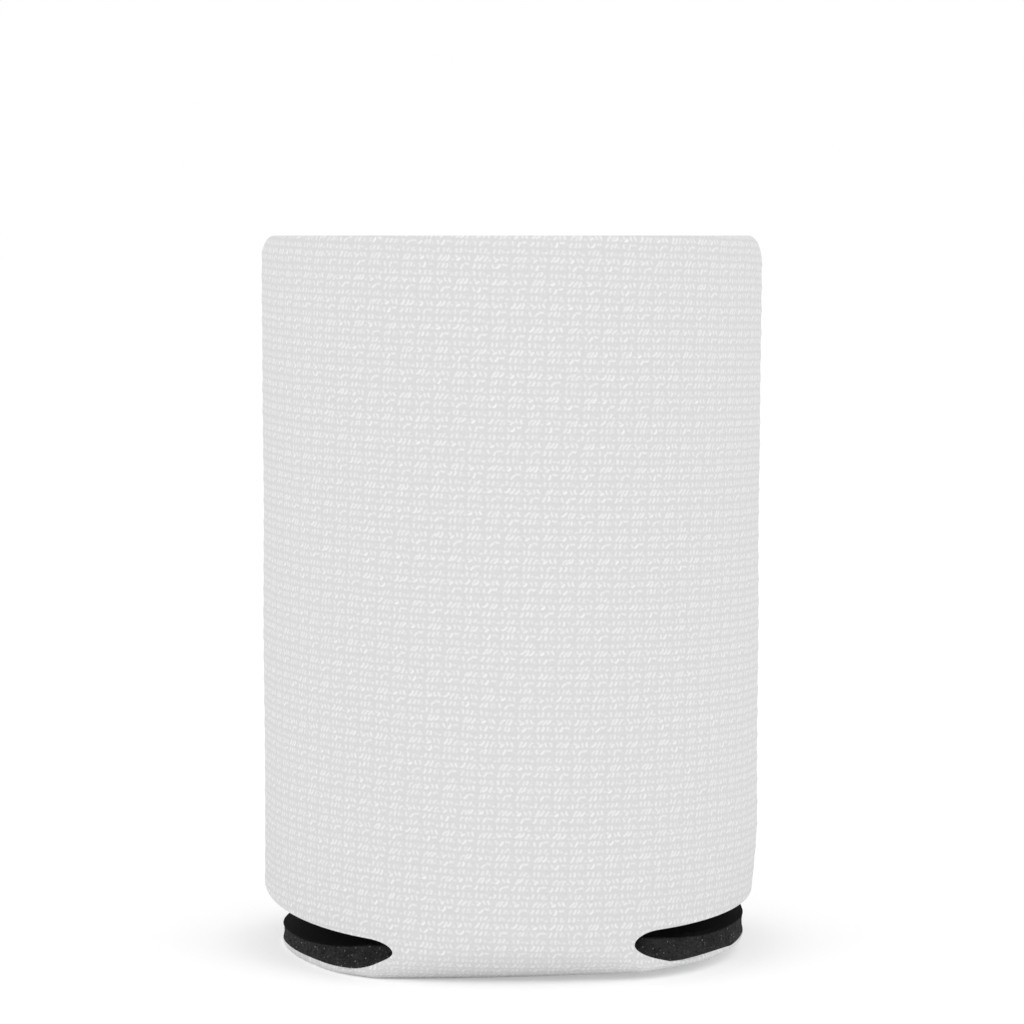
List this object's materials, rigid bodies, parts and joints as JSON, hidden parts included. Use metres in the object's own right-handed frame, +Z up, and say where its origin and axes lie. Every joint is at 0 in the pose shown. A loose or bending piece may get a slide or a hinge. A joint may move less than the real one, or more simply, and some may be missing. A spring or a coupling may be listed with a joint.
{
  "type": "can cooler sleeve",
  "caption": "Insulating sleeve for a standard drinks can: white fabric on black foam, folded under its base and sewn up both sides, open at the top.",
  "frame": {"origin": "centre of the underside, on the surface that the sleeve stands on", "axes": "+Z up out of the open top, front panel towards -Y, side seams at +X and -X"},
  "size_m": [0.0716, 0.071, 0.1016],
  "materials": {
    "white_knit": "matt white polyester knit with rows of small raised stitches",
    "black_foam": "matt black open-cell foam, grainy where it is cut",
    "white_thread": "twisted polyester sewing thread"
  },
  "bodies": {
    "root": {"fabric_face": "white_knit", "foam_body": "black_foam", "left_seam_thread": "white_thread", "right_seam_thread": "white_thread"}
  },
  "joints": []
}
